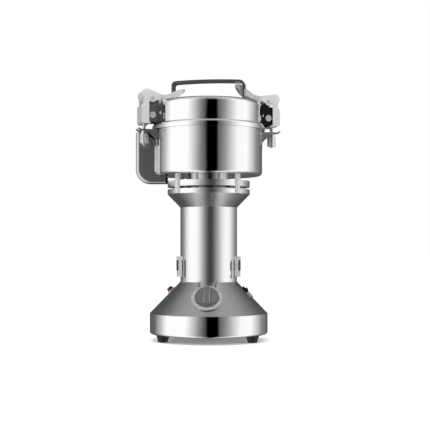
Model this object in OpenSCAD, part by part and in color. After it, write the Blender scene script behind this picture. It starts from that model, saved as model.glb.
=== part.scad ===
/* [Base] */
// Radius of the base skirt
base_r = 90; // [80:1:110]
// Height of the rubber feet
foot_h = 10.3; // [6:0.1:16]
// Height of the polished skirt
skirt_h = 31.5; // [26:0.5:45]
// Height of the satin cone
cone_h = 47.9; // [40:0.1:60]
// Wall of the pressed steel shells
shell_t = 1.5; // [1:0.1:2.5]

/* [Motor column] */
// Outer radius of the motor tube
tube_r = 43.3; // [40:0.1:50]
// Height of the motor tube
tube_h = 112.6; // [105:0.1:130]
// Height of the flare above the tube
flare_h = 20; // [14:0.1:24]
// How far the flare spreads beyond the tube
flare_w = 19.4; // [14:0.1:22]
// Height of the rim band above the flare
rim_h = 7.2; // [5:0.1:12]

/* [Neck] */
// Gap between the rim and the neck plate
rim_gap = 3.7; // [2:0.1:8]
// Thickness of the neck plate
plate_h = 9; // [6:0.1:12]
// Gap between the neck plate and the bowl
bowl_gap = 8.3; // [6:0.1:14]
// Radius of a standoff post
post_r = 4; // [3:0.1:5]

/* [Bowl and lid] */
// Outer radius of the bowl
bowl_r = 81.4; // [76:0.1:92]
// Height of the bowl wall
bowl_h = 71.5; // [60:0.1:95]
// Bottom corner radius of the bowl
bowl_corner = 5.4; // [4:0.1:10]
// Height of the lid from its lip to its flat top
lid_h = 43.3; // [38:0.1:55]
// Shoulder radius of the lid
lid_corner = 7.6; // [5:0.1:12]

/* [Handle] */
// Outer width of the handle
handle_w = 111.5; // [100:0.5:130]
// Height of the handle above the lid
handle_h = 33.8; // [28:0.1:45]
// Width of the handle strip
strip_w = 22; // [16:0.5:24]
// Thickness of the handle strip
strip_t = 3; // [2:0.1:4]

/* [Latches] */
// Turn of the latches from the left and right
latch_turn = 16; // [14:1:18]
// How far the pivot of the lever stands out beyond the bowl
pivot_out = 8.6; // [8.1:0.1:9.6]
// Height of the pivot above the lid's lip
pivot_z = 44.8; // [44:0.1:46]
// Distance from the pivot to the pin that carries the link
crank = 10; // [9.5:0.1:10.5]
// Half width between the cheeks of the lever
lever_half = 17; // [16.8:0.1:17.5]
// Radius of the threaded rod
rod_r = 2.5; // [2:0.1:2.8]

/* [Knob and switches] */
// Radius of the dial plate
dial_r = 23.75; // [20:0.25:25]
// Radius of the timer knob
knob_r = 17.75; // [14:0.25:19]
// Height of the knob above its dial
knob_h = 5.5; // [4:0.1:8]
// Radius of the red reset button
reset_r = 4.3; // [3:0.1:5]
// Length of the rocker switch along the slope
switch_l = 21; // [18:0.5:24]

/* [Blades] */
// Reach of the longest blade
blade_l = 66; // [55:0.5:70]
// Thickness of a blade
blade_t = 2; // [1.5:0.1:3]

/* [Hidden] */
$fn = 64;
cut = 1;
gap = 0.3;
fit = 0.05;

// Heights that stack up from the surface the mill stands on
skirt_z = foot_h;
cone_z = skirt_z + skirt_h;
tube_z = cone_z + cone_h;
flare_z = tube_z + tube_h;
rim_z = flare_z + flare_h;
rim_top = rim_z + rim_h;
plate_z = rim_top + rim_gap;
plate_top = plate_z + plate_h;
bowl_z = plate_top + bowl_gap;
bowl_top = bowl_z + bowl_h;
rim_r = tube_r + flare_w;

// Lid and its lip
lid_step = 0.4;
lid_r = bowl_r - lid_step;
lip_cover = 2.6;
lip_z = bowl_top - lip_cover;
lip_arc = 5;
lip_flat = 4.4;
lid_top = lip_z + lid_h;
lid_t = 1.2;
lip_r = lid_r + lip_arc;
plug_gap = 0.9;
plug_r = bowl_r - shell_t - plug_gap;
pocket_r = bowl_r + plug_gap - fit;
plug_drop = 8;
gasket_h = 2.6;

// Directions of the sloping cone wall
slope_dx = base_r - tube_r;
slope_l = sqrt(slope_dx * slope_dx + cone_h * cone_h);
cone_tilt = atan2(cone_h, slope_dx);
cone_wall = shell_t / sin(cone_tilt);

// Places on the cone, as shares of its height
dial_share = 0.518;
button_share = 0.713;
switch_share = 0.662;

// Feet
foot_inset = 13;
foot_ring = base_r - foot_inset;
foot_top_r = 10;
foot_low_r = 6.75;
foot_screw_r = 2.2;
foot_angles = [-30, 90, 210];
skirt_corner = 4;
skirt_lip_w = 26;
skirt_lip_r = base_r - skirt_lip_w;

// Latch parts, seen along the pin with x outward and y up from the lever's pivot
lever_t = 1.5;
arm_t = 1.5;
link_half = lever_half + lever_t + 2 * gap;
cheek_gap = 0.5;
cheek_half = lever_half - cheek_gap;
cheek_t = 1.5;
set_right = 0;
set_left = 13;
crank_rest = -3;
disc_r = 7.6;
disc_lift = 4.8;
pin_r = 2.5;
pivot_pin_r = 2;
boss_r = 5.5;
saddle_x = -11;
tip_x = -48;
saddle_y = 9;
tip_rise = 19;
saddle_depth = 7;
tip_depth = 3;
scoop_depth = 7.6;
grip_half = 9;
neck_start = -9;
neck_end = -20;
pivot_r = bowl_r + pivot_out;
pivot_h = lip_z + pivot_z;
seat_drop = 0.8;
seat_z = lip_z - seat_drop;
lug_t = 2.2;
rod_at = pivot_r + crank * cos(crank_rest);
rod_at_left = pivot_r + crank * cos(crank_rest + set_left);
latch_angles = [latch_turn, latch_turn + 180];

// Small shared sizes
shaft_r = 6;
shaft_clear = 3;
stator_r = 38;
rotor_r = 22;
brush_rise = 22.8;
brush_z = tube_z + brush_rise;
brush_w = 6;
knob_gap = 0.4;

// Rounded lower corner of a revolved cup, from the axis out to r
module cup_section(r, z0, z1, corner) {
    translate([0, z0 + corner]) square([r, z1 - z0 - corner]);
    translate([0, z0]) square([r - corner, corner + fit]);
    translate([r - corner, z0 + corner]) circle(corner);
}

// Rounded upper corner of a revolved cap, from the axis out to r
module cap_section(r, z0, z1, corner) {
    translate([0, z0]) square([r, z1 - z0 - corner]);
    translate([0, z1 - corner - fit]) square([r - corner, corner + fit]);
    translate([r - corner, z1 - corner]) circle(corner);
}

module ring(r_in, r_out, z0, z1) {
    translate([0, 0, z0]) difference() {
        cylinder(r = r_out, h = z1 - z0);
        translate([0, 0, -cut]) cylinder(r = r_in, h = z1 - z0 + 2 * cut);
    }
}

// A curved plate on a cylinder between two radii, half_angle to each side of +X
module curved_plate(r_in, r_out, z0, z1, half_angle) {
    rotate([0, 0, -half_angle]) rotate_extrude(angle = 2 * half_angle)
        translate([r_in, z0]) square([r_out - r_in, z1 - z0]);
}

// Places its children on the cone at a share of its height, with +Z square to the wall
module on_cone(share, angle) {
    rotate([0, 0, angle])
        translate([base_r - slope_dx * share, 0, cone_z + cone_h * share])
        rotate([0, cone_tilt, 0]) children();
}

module at_latch(angle) {
    rotate([0, 0, angle]) children();
}

// Turns a flat outline in the plane of a latch (x outward, y up) into a plate of half
// width w0 to w1 on both sides
module latch_pair(w0, w1) {
    for (side = [0, 1]) mirror([0, side, 0])
        translate([0, -w0, 0]) rotate([90, 0, 0]) linear_extrude(w1 - w0) children();
}

module latch_slab(w) {
    translate([0, w, 0]) rotate([90, 0, 0]) linear_extrude(2 * w) children();
}

module base_skirt() {
    color("silver") difference() {
        rotate_extrude($fn = 128) difference() {
            cup_section(base_r, skirt_z, cone_z, skirt_corner);
            cup_section(base_r - shell_t, skirt_z + shell_t, cone_z + cut, skirt_corner - shell_t);
            translate([0, skirt_z - cut]) square([skirt_lip_r, shell_t + 2 * cut]);
        }
        for (a = foot_angles) rotate([0, 0, a]) translate([foot_ring, 0, skirt_z - cut])
            cylinder(r = foot_screw_r + fit, h = shell_t + 2 * cut);
        translate([0, base_r + cut, gland_z]) rotate([90, 0, 0])
            cylinder(r = gland_r - gland_lip + fit, h = 4 * shell_t);
    }
}

vent_count = 5;
vent_w = 4;
vent_l = 34;
vent_pitch = 9;
floor_lap = 8;
module bottom_plate() {
    color("gray") difference() {
        translate([0, 0, skirt_z + shell_t]) cylinder(r = skirt_lip_r + floor_lap, h = shell_t);
        for (i = [0:vent_count - 1])
            translate([-vent_l / 2, (i - (vent_count - 1) / 2) * vent_pitch - vent_w / 2, skirt_z])
            cube([vent_l, vent_w, 3 * shell_t + cut]);
    }
}

module feet() {
    color("black") for (a = foot_angles) rotate([0, 0, a]) translate([foot_ring, 0, 0]) difference() {
        cylinder(r1 = foot_low_r, r2 = foot_top_r, h = foot_h);
        translate([0, 0, -cut]) cylinder(r = 2 * foot_screw_r + gap, h = foot_h / 3 + cut);
        cylinder(r = foot_screw_r + fit, h = foot_h + cut);
    }
}

module feet_screws() {
    color("silver") for (a = foot_angles) rotate([0, 0, a]) translate([foot_ring, 0, foot_h / 3]) {
        translate([0, 0, -foot_screw_r]) cylinder(r = 2 * foot_screw_r, h = foot_screw_r);
        cylinder(r = foot_screw_r, h = foot_h * 2 / 3 + 2 * shell_t);
        translate([0, 0, foot_h * 2 / 3 + shell_t + fit])
            cylinder(r = 1.8 * foot_screw_r, h = foot_screw_r, $fn = 6);
    }
}

module base_cone() {
    spigot = 3.5;
    lip_in = tube_r - 2 * shell_t;
    spigot_r = base_r - shell_t - fit;
    spigot_in = spigot_r - shell_t;
    rise = (base_r - cone_wall - spigot_in) * cone_h / slope_dx;
    lip_drop = shell_t * slope_dx / cone_h;
    color("darkgray") difference() {
        rotate_extrude($fn = 128) polygon([
            [base_r, cone_z], [tube_r, tube_z], [lip_in, tube_z], [lip_in, tube_z - shell_t],
            [tube_r + lip_drop - cone_wall, tube_z - shell_t], [spigot_in, cone_z + rise],
            [spigot_in, cone_z - spigot], [spigot_r, cone_z - spigot], [spigot_r, cone_z]
        ]);
        on_cone(dial_share, -90) cylinder(r = dial_r - shell_t, h = 8 * shell_t, center = true);
        on_cone(button_share, 180)
            cylinder(r = reset_r + collar_w + collar_gap, h = 8 * shell_t, center = true);
        on_cone(switch_share, 0)
            cube([switch_l - 2 * bezel_lap, switch_w - 2 * bezel_lap, 8 * shell_t], center = true);
    }
}

gland_r = 6;
gland_hole = 3.6;
gland_l = 7;
gland_lip = 1;
gland_slack = 0.8;
gland_z = skirt_z + skirt_h / 2;
module cable_gland() {
    nut_at = shell_t + gland_slack;
    color("black") translate([0, base_r, gland_z]) rotate([-90, 0, 0]) difference() {
        union() {
            translate([0, 0, fit]) cylinder(r = gland_r + 2 * gland_lip, h = 2.5 * shell_t);
            translate([0, 0, -gland_l]) cylinder(r = gland_r - gland_lip, h = gland_l + shell_t);
            translate([0, 0, -gland_l]) cylinder(r = gland_r + gland_lip, h = gland_l - nut_at);
        }
        translate([0, 0, -gland_l - cut]) cylinder(r = gland_hole, h = 3 * gland_l);
    }
}

slot_w = 3.5;
slot_h = 27.7;
slot_azimuths = [25, 37.3, 142.7, 155];
slot_rise = 19.65;
slot_z = tube_z + slot_rise;
module slot_cut(angle) {
    rotate([0, 0, angle]) translate([tube_r - 3 * shell_t, 0, slot_z]) rotate([0, 90, 0])
        linear_extrude(6 * shell_t) {
            for (s = [-1, 1]) translate([s * (slot_h - slot_w) / 2, 0]) circle(slot_w / 2);
            square([slot_h - slot_w, slot_w], center = true);
        }
}

module motor_tube() {
    color("silver") difference() {
        ring(tube_r - shell_t, tube_r, tube_z, flare_z);
        for (a = slot_azimuths) {
            slot_cut(a);
            slot_cut(-a);
        }
        translate([0, 0, brush_z]) rotate([0, 90, 0])
            cylinder(r = brush_w + 2 * gap, h = 3 * tube_r, center = true);
    }
}

module top_flare() {
    color("darkgray") difference() {
        rotate_extrude($fn = 128) polygon([
            [tube_r - shell_t, flare_z], [tube_r, flare_z], [rim_r, rim_z], [rim_r, rim_top],
            [rim_r - shell_t, rim_top], [rim_r - shell_t, rim_z + shell_t / 2]
        ]);
        for (a = [45:90:315]) rotate([0, 0, a]) translate([rim_r, 0, rim_z])
            cylinder(r = post_r + fit, h = rim_h + cut);
    }
}

module motor_top_plate() {
    color("silver") difference() {
        union() {
            translate([0, 0, rim_top - 2 * shell_t])
                cylinder(r = rim_r - shell_t - fit, h = 2 * shell_t);
            translate([0, 0, rim_top - 8 * shell_t])
                cylinder(r = bearing_r + 2 * shell_t, h = 6 * shell_t + fit);
        }
        translate([0, 0, rim_top - 9 * shell_t]) cylinder(r = shaft_r + shaft_clear, h = 12 * shell_t);
        translate([0, 0, rim_top - 8 * shell_t - cut])
            cylinder(r = bearing_r + fit, h = bearing_h + cut);
        for (a = [45:90:315]) rotate([0, 0, a]) translate([rim_r, 0, rim_top - 3 * shell_t])
            cylinder(r = post_r + fit, h = 6 * shell_t);
    }
}

module neck_plate() {
    color("silver") difference() {
        translate([0, 0, plate_z]) cylinder(r = rim_r, h = plate_h);
        translate([0, 0, plate_z - cut]) cylinder(r = rim_r - shell_t, h = plate_h - shell_t + cut);
        translate([0, 0, plate_z - cut]) cylinder(r = hub_r + fit, h = plate_h + 2 * cut);
        for (a = [45:90:315]) rotate([0, 0, a]) translate([rim_r, 0, plate_z - cut])
            cylinder(r = post_r + fit, h = plate_h + 2 * cut);
    }
}

module standoff_posts() {
    color("white") for (a = [45:90:315]) rotate([0, 0, a])
        translate([rim_r, 0, rim_z + fit]) cylinder(r = post_r, h = bowl_z - rim_z - fit);
}

hub_r = 33;
bearing_r = 14;
bearing_h = 9;
module bearing_hub() {
    color("silver") difference() {
        translate([0, 0, rim_top]) cylinder(r = hub_r, h = bowl_z - rim_top);
        translate([0, 0, rim_top - cut])
            cylinder(r = shaft_r + shaft_clear, h = bowl_z - rim_top + 2 * cut);
    }
}

seal_r = 11;
module bowl() {
    floor_t = 2 * shell_t;
    color("silver") rotate_extrude($fn = 128) difference() {
        cup_section(bowl_r, bowl_z, bowl_top, bowl_corner);
        cup_section(bowl_r - shell_t, bowl_z + floor_t, bowl_top + cut, bowl_corner - shell_t);
        translate([-cut, bowl_z - cut]) square([seal_r + fit + cut, floor_t + 2 * cut]);
    }
}

flange_span = 12.5;
flange_drop = 27.8;
flange_lap = 0.5;
module duct_flange() {
    flange_t = 1.2;
    flange_z = bowl_z + bowl_corner;
    for (side = [-1, 1]) rotate([0, 0, side * (duct_edge + flange_span / 2 - flange_lap)])
        curved_plate(bowl_r + fit, bowl_r + flange_t, flange_z, bowl_top - flange_drop, flange_span / 2);
}

lug_span = 8;
lug_reach = 4;
horn_reach = 11;
slot_half = 3.1;
horn_half = 13;
funnel_half = 7.5;
lug_low = 24;
module latch_lug(centre) {
    wall = 1.5;
    plate_low = seat_z - lug_t;
    horn_bend = 4;
    horn_rise = 3.5;
    curved_plate(bowl_r + fit, bowl_r + wall, seat_z - lug_low, seat_z, lug_span);
    difference() {
        union() {
            translate([bowl_r, -horn_half, plate_low])
                cube([centre + lug_reach - bowl_r, 2 * horn_half, lug_t]);
            latch_pair(funnel_half, horn_half) polygon([
                [centre, plate_low], [centre + horn_reach - horn_bend, plate_low],
                [centre + horn_reach, plate_low + horn_rise],
                [centre + horn_reach - lug_t / 2, plate_low + horn_rise + lug_t / 2],
                [centre + horn_reach - horn_bend - lug_t / 3, plate_low + lug_t],
                [centre, plate_low + lug_t]
            ]);
        }
        translate([centre, 0, plate_low - cut]) cylinder(r = slot_half, h = lug_t + 2 * cut);
        translate([centre, -slot_half, plate_low - cut])
            cube([2 * lug_reach, 2 * slot_half, lug_t + 2 * cut]);
        cylinder(r = bowl_r + wall - fit, h = 2 * bowl_top);
    }
    latch_pair(horn_half - 2 * wall, horn_half - wall) polygon([
        [bowl_r + fit, plate_low], [centre - rod_r, plate_low],
        [bowl_r + fit, plate_low - lug_low * 0.6]
    ]);
}

module latch_lugs() {
    color("dimgray") {
        at_latch(latch_angles[0]) latch_lug(rod_at);
        at_latch(latch_angles[1]) latch_lug(rod_at_left);
    }
}

duct_half = 11;
duct_reach = 29.6;
duct_out = bowl_r + duct_reach;
neck_play = 2.5;
duct_in = rim_r + neck_play;
duct_bend = 22;
duct_round = 6;
duct_low = 12.1;
duct_edge = asin(duct_half / bowl_r);
duct_top = 1.7;
duct_sink = 3;
duct_back = bowl_r - duct_sink;

// Section of the side duct: depth along x with its two outer edges rounded
module duct_section(depth, inset) {
    half = duct_half - inset;
    round_r = duct_round - inset;
    translate([0, -half]) square([depth - inset - round_r, 2 * half]);
    translate([0, -half + round_r]) square([depth - inset, 2 * (half - round_r)]);
    for (s = [-1, 1]) translate([depth - inset - round_r, s * (half - round_r)]) circle(round_r);
}

// The channel as a solid, its back reaching into the bowl that is cut away later
module duct_solid(inset) {
    low = bowl_z - duct_low;
    bend_x = duct_out - duct_bend;
    high = seat_z - duct_top - inset;
    top_run = bowl_z + shell_t;
    translate([duct_back, 0, low + duct_bend]) linear_extrude(high - low - duct_bend)
        duct_section(duct_out - duct_back, inset);
    translate([duct_in + inset, 0, top_run]) rotate([0, 90, 0])
        linear_extrude(bend_x - duct_in - inset) duct_section(top_run - low, inset);
    translate([bend_x, 0, low + duct_bend]) rotate([90, 0, 0]) rotate([0, 0, -90])
        rotate_extrude(angle = 90) duct_section(duct_bend, inset);
    translate([duct_back, -duct_half + inset, bowl_z - shell_t])
        cube([bend_x - duct_back, 2 * (duct_half - inset), low + duct_bend - bowl_z + shell_t]);
}

plunger_r = 1.6;
plunger_at = lip_r - plunger_r - gap;
module side_duct() {
    color("gray") rotate([0, 0, 180]) {
        difference() {
            duct_solid(0);
            duct_solid(shell_t);
            rotate_extrude($fn = 128) cup_section(bowl_r + fit, bowl_z - fit, 2 * bowl_top, bowl_corner);
            translate([plunger_at, 0, seat_z - 2 * duct_bend])
                cylinder(r = plunger_r + fit, h = 3 * duct_bend);
        }
        duct_flange();
    }
}

module duct_grommet() {
    lead_r = 2.5;
    color("black") rotate([0, 0, 180])
        translate([rim_r + fit, 0, bowl_z - duct_low / 2 - gap]) rotate([0, 90, 0])
        difference() {
            cylinder(r = duct_low / 2 - gap, h = duct_in - rim_r - 2 * fit);
            translate([0, 0, -cut]) cylinder(r = lead_r, h = duct_in);
        }
}

sensor_drop = 12;
sensor_z = seat_z - duct_top - shell_t - sensor_drop;
module lid_microswitch() {
    body_w = 7;
    body_l = 18;
    color("black") rotate([0, 0, 180])
        translate([bowl_r + fit, -body_w / 2, sensor_z - sensor_drop]) cube([body_l, body_w, sensor_drop]);
}

module safety_plunger() {
    color("white") rotate([0, 0, 180]) translate([plunger_at, 0, sensor_z + gap])
        cylinder(r = plunger_r, h = lip_z - sensor_z - 2 * gap);
}

bracket_h = 8;
bearing_step = 3;
low_bearing_r = bearing_r - bearing_step;
module lower_end_bracket() {
    color("silver") difference() {
        translate([0, 0, tube_z + fit]) cylinder(r = tube_r - shell_t - fit, h = bracket_h);
        translate([0, 0, tube_z - cut]) cylinder(r = low_bearing_r + fit, h = bracket_h + 2 * cut);
        for (a = [30:60:330]) rotate([0, 0, a]) translate([(tube_r + bearing_r) / 2, 0, tube_z - cut])
            cylinder(r = bracket_h * 0.8, h = bracket_h + 2 * cut);
    }
}

module bearing(r_out, z0) {
    race = 2.2;
    shield = 1;
    color("silver") difference() {
        ring(shaft_r + fit, r_out, z0, z0 + bearing_h - shield);
        ring(shaft_r + race, r_out - race, z0 - cut, z0 + shield);
        ring(shaft_r + race, r_out - race, z0 + bearing_h - 2 * shield, z0 + bearing_h + cut);
    }
}

module motor_bearings() {
    bearing(low_bearing_r, tube_z);
    bearing(bearing_r, rim_top - 8 * shell_t);
}

module shaft_seal() {
    seal_lip = 2;
    color("black") ring(shaft_r + fit, seal_r, bowl_z, bowl_z + 2 * shell_t + seal_lip);
}

stator_rise = 46;
stator_z = tube_z + stator_rise;
winding_h = 7;
fan_clear = 1.6;
fan_drop = 14;
fan_z = flare_z - fan_drop;
stator_h = fan_z - fan_clear - winding_h - stator_z;
pole_lip = 3;
air_gap = 0.6;
module motor_stator() {
    pole = 16;
    yoke_t = 7;
    color("dimgray") {
        ring(stator_r - yoke_t, tube_r - shell_t - fit, stator_z, stator_z + stator_h);
        difference() {
            for (s = [0, 1]) mirror([0, s, 0]) translate([-pole, rotor_r + gap, stator_z])
                cube([2 * pole, stator_r - rotor_r - pole_lip - gap, stator_h]);
            translate([0, 0, stator_z - cut]) cylinder(r = rotor_r + air_gap, h = stator_h + 2 * cut);
        }
    }
}

module stator_windings() {
    coil_gap = 4;
    color("peru") for (s = [-1, 1], z = [stator_z - winding_h, stator_z + stator_h + fit])
        intersection() {
            ring(rotor_r + coil_gap, stator_r - pole_lip, z, z + winding_h - fit);
            translate([-stator_r / 2, s > 0 ? 0 : -stator_r, z - cut])
                cube([stator_r, stator_r, 2 * winding_h]);
        }
}

commutator_r = 13;
module brush_holders() {
    holder_gap = 3;
    holder_play = 0.5;
    reach = commutator_r + holder_gap;
    color("goldenrod") for (s = [0, 180]) rotate([0, 0, s]) difference() {
        translate([reach, -brush_w, brush_z - brush_w])
            cube([tube_r - shell_t - holder_play - reach, 2 * brush_w, 2 * brush_w]);
        translate([reach - cut, -brush_w / 2 - fit, brush_z - brush_w / 2 - fit])
            cube([tube_r, brush_w + 2 * fit, brush_w + 2 * fit]);
    }
}

module carbon_brushes() {
    brush_l = 15;
    color("black") for (s = [0, 180]) rotate([0, 0, s])
        translate([commutator_r + gap, -brush_w / 2, brush_z - brush_w / 2])
        cube([brush_l, brush_w, brush_w]);
}

frame_out = 5.5;
frame_half = 11;
frame_rise = 7.5;
frame_z = tube_z + frame_rise;
frame_h = 30.5;
cap_rise = 16.5;
cap_z = tube_z + cap_rise;
cap_h = 16.2;
cap_depth = 2;
module brush_caps() {
    driver_w = 1.2;
    driver_deep = 1;
    color("black") for (s = [0, 180]) rotate([0, 0, s]) {
        translate([tube_r - shell_t - fit, 0, brush_z]) rotate([0, 90, 0])
            cylinder(r = brush_w, h = shell_t + cap_depth + 2 * gap);
        difference() {
            translate([tube_r + cap_depth + gap, gap - frame_half, cap_z + gap])
                cube([frame_out - cap_depth - gap, 2 * (frame_half - gap), cap_h - 2 * gap]);
            translate([tube_r + frame_out - driver_deep, -brush_w, brush_z - driver_w / 2])
                cube([2 * driver_deep, 2 * brush_w, driver_w]);
        }
    }
}

module brush_frames() {
    lip = 1;
    root = 4;
    color("silver") for (s = [0, 180]) rotate([0, 0, s]) difference() {
        union() {
            translate([tube_r - root, -frame_half, frame_z + shell_t / 2])
                cube([frame_out + root - gap, 2 * frame_half, frame_h - shell_t]);
            for (z = [frame_z, frame_z + frame_h - shell_t])
                translate([tube_r - root, -frame_half - lip, z])
                    cube([frame_out + root, 2 * (frame_half + lip), shell_t]);
        }
        translate([0, 0, frame_z - cut]) cylinder(r = tube_r + fit, h = frame_h + 2 * cut);
        translate([tube_r + cap_depth, -frame_half - 2 * lip, cap_z])
            cube([frame_out, 2 * frame_half + 4 * lip, cap_h]);
        translate([tube_r - root, 0, brush_z]) rotate([0, 90, 0])
            cylinder(r = brush_w + gap, h = 2 * frame_out);
    }
}

pod_h = 1.2;
dial_t = 0.8;
plug_l = 5;
spindle_r = 3;
spindle_play = 1;
module timer_pod() {
    neck_half = 13.2;
    neck_flare = 5;
    neck_l = slope_l * (1 - dial_share);
    plug_side = dial_r - shell_t - fit;
    color("darkgray") difference() {
        on_cone(dial_share, -90) {
            translate([0, 0, -plug_l]) cylinder(r = dial_r, h = plug_l + pod_h);
            for (s = [-1, 1]) translate([-neck_l, s * neck_half, -plug_l]) rotate([0, 0, s * -neck_flare])
                translate([0, -shell_t / 2, 0]) cube([neck_l - dial_r * 0.8, shell_t, plug_l + 2 * pod_h]);
        }
        on_cone(dial_share, -90) translate([0, 0, -2 * plug_l])
            cylinder(r = spindle_r + spindle_play, h = 4 * plug_l);
        on_cone(dial_share, -90) translate([0, 0, pod_h]) cylinder(r = dial_r, h = 2 * pod_h);
        difference() {
            rotate_extrude($fn = 128) polygon([
                [0, cone_z], [base_r + fit, cone_z], [tube_r + fit, tube_z],
                [tube_r + fit, 2 * tube_z], [0, 2 * tube_z]
            ]);
            on_cone(dial_share, -90) translate([0, 0, -2 * plug_l])
                cylinder(r = plug_side, h = 2 * plug_l + pod_h);
        }
    }
}

module timer_dial() {
    color("lightgray") on_cone(dial_share, -90) translate([0, 0, pod_h]) difference() {
        cylinder(r = dial_r - fit, h = dial_t);
        translate([0, 0, -cut]) cylinder(r = spindle_r + spindle_play, h = dial_t + 2 * cut);
    }
}

timer_half = 16;
module timer_body() {
    deep = 14;
    color("ivory") on_cone(dial_share, -90) difference() {
        translate([-timer_half, -timer_half, -plug_l - deep])
            cube([2 * timer_half, 2 * timer_half, deep - fit]);
        translate([0, 0, -plug_l - deep / 2]) cylinder(r = spindle_r + fit, h = deep);
    }
}

module timer_knob() {
    bar_half = 5.3;
    waist = 0.6;
    bar_h = 1.8;
    bow_r = 220;
    draft = 1;
    spindle_tail = 6;
    solid_h = knob_h - knob_gap;
    base = pod_h + dial_t + knob_gap;
    color("dimgray") on_cone(dial_share, -90) {
        translate([0, 0, base]) {
            cylinder(r1 = knob_r, r2 = knob_r - draft, h = solid_h);
            intersection() {
                cylinder(r = knob_r - draft, h = solid_h + bar_h);
                difference() {
                    translate([-knob_r, -bar_half, 0]) cube([2 * knob_r, 2 * bar_half, solid_h + bar_h]);
                    for (s = [-1, 1]) translate([0, s * (bow_r + bar_half - waist), -cut])
                        cylinder(r = bow_r, h = 2 * knob_h, $fn = 128);
                }
            }
        }
        translate([0, 0, -plug_l - spindle_tail])
            cylinder(r = spindle_r, h = plug_l + spindle_tail + base + fit);
    }
}

nut_top = 1.6;
collar_rise = 2;
collar_w = 0.7;
collar_gap = 0.5;
collar_top = nut_top + collar_rise;
reset_nut_w = 2.2;
button_press = 1.5;
button_stem = 1;
module reset_nut() {
    color("silver") on_cone(button_share, 180) translate([0, 0, gap]) difference() {
        cylinder(r = reset_r + reset_nut_w, h = nut_top - gap);
        translate([0, 0, -cut]) cylinder(r = reset_r + collar_w + fit, h = nut_top + 2 * cut);
    }
}

module reset_breaker() {
    deep = 18;
    color("black") on_cone(button_share, 180) difference() {
        translate([0, 0, -deep]) cylinder(r = reset_r + collar_w, h = deep + collar_top);
        translate([0, 0, -deep / 3]) cylinder(r = reset_r + fit - button_stem, h = deep);
        translate([0, 0, collar_top - collar_rise]) cylinder(r = reset_r + fit, h = deep);
    }
}

module reset_button() {
    cap = 2;
    dome = 1.2;
    stem_tail = 3;
    start = nut_top + button_press + gap;
    color("red") on_cone(button_share, 180) {
        translate([0, 0, start]) rotate_extrude() {
            square([reset_r, cap]);
            square([reset_r - dome, cap + dome]);
            translate([reset_r - dome, cap]) circle(dome);
        }
        translate([0, 0, -stem_tail]) cylinder(r = reset_r - button_stem, h = stem_tail + start + fit);
    }
}

switch_w = 15;
bezel_h = 1.8;
bezel_lap = 1;
body_inset = 1.2;
body_deep = 12;
well_deep = 5;
rocker_l = 14.5;
rocker_w = 9;
rocker_tilt = 9;
trunnion_r = 1.2;
trunnion_l = 1;

// The round pin across the rocker, also cut from the housing with a running fit
module rocker_pin(play) {
    rotate([90, 0, 0])
        cylinder(r = trunnion_r + play, h = rocker_w + 2 * (gap + trunnion_l + play), center = true);
}

module switch_housing() {
    body_l = switch_l - 2 * body_inset;
    body_w = switch_w - 2 * body_inset;
    well_l = rocker_l + 2 * gap;
    well_w = rocker_w + 2 * gap;
    color("black") on_cone(switch_share, 0) difference() {
        union() {
            translate([-switch_l / 2, -switch_w / 2, gap]) cube([switch_l, switch_w, bezel_h]);
            translate([-body_l / 2, -body_w / 2, -body_deep]) cube([body_l, body_w, body_deep + 2 * gap]);
        }
        translate([-well_l / 2, -well_w / 2, -well_deep]) cube([well_l, well_w, well_deep + body_deep]);
        rocker_pin(fit);
    }
}

// Rocker: a shallow V seen from its side, tipped to its off side, on a pin across
module switch_rocker() {
    end_h = 4;
    mid_h = 2.6;
    edge_h = 1.4;
    end_play = 0.6;
    end_x = rocker_l / 2 - end_play;
    heel_x = rocker_l / 5;
    color("white") on_cone(switch_share, 0) rotate([0, rocker_tilt, 0]) {
        translate([0, rocker_w / 2, 0]) rotate([90, 0, 0]) linear_extrude(rocker_w) polygon([
            [-end_x, end_h], [0, mid_h], [end_x, end_h],
            [end_x, edge_h], [heel_x, -mid_h], [-heel_x, -mid_h], [-end_x, edge_h]
        ]);
        rocker_pin(0);
    }
}

shaft_tail = 4;
shaft_low = tube_z - shaft_tail;
stud_step = 1;
stud_r = shaft_r - stud_step;
module motor_shaft() {
    color("silver") {
        translate([0, 0, shaft_low]) cylinder(r = shaft_r, h = stack_z - shaft_low);
        translate([0, 0, stack_z - fit]) cylinder(r = stud_r, h = stack_top + nut_h + washer_h - stack_z);
    }
}

rotor_slots = 12;
module rotor_core() {
    slot_deep = 4;
    mouth = 2;
    color("dimgray") difference() {
        ring(shaft_r + fit, rotor_r, stator_z, stator_z + stator_h);
        for (i = [0:rotor_slots - 1]) rotate([0, 0, i * 360 / rotor_slots])
            translate([rotor_r - slot_deep, -mouth / 2, stator_z - cut])
            cube([slot_deep + cut, mouth, stator_h + 2 * cut]);
    }
}

module commutator() {
    half_h = 8;
    bars = 12;
    groove = 0.6;
    color("peru") difference() {
        ring(shaft_r + fit, commutator_r, brush_z - half_h, brush_z + half_h);
        for (i = [0:bars - 1]) rotate([0, 0, i * 360 / bars])
            translate([commutator_r - groove, -groove / 2, brush_z - half_h - cut])
            cube([2 * groove, groove, 2 * half_h + 2 * cut]);
    }
}

fan_blades = 9;
fan_play = 5.8;
fan_r = tube_r - shell_t - fan_play;
fan_disc = 1.5;
module cooling_fan() {
    blade_h = 7.5;
    hub_wall = 5;
    fan_hub = shaft_r + hub_wall;
    vane = 1.4;
    sweep = 12;
    color("white") translate([0, 0, fan_z]) {
        linear_extrude(fan_disc) difference() {
            circle(fan_r);
            circle(shaft_r + fit);
        }
        translate([0, 0, fan_disc - fit]) linear_extrude(blade_h) difference() {
            union() {
                circle(fan_hub);
                for (i = [0:fan_blades - 1]) rotate([0, 0, i * 360 / fan_blades])
                    translate([fan_hub - cut, 0]) rotate([0, 0, sweep])
                        square([fan_r - fan_hub - 2 * cut, vane]);
            }
            circle(shaft_r + fit);
        }
    }
}

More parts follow.
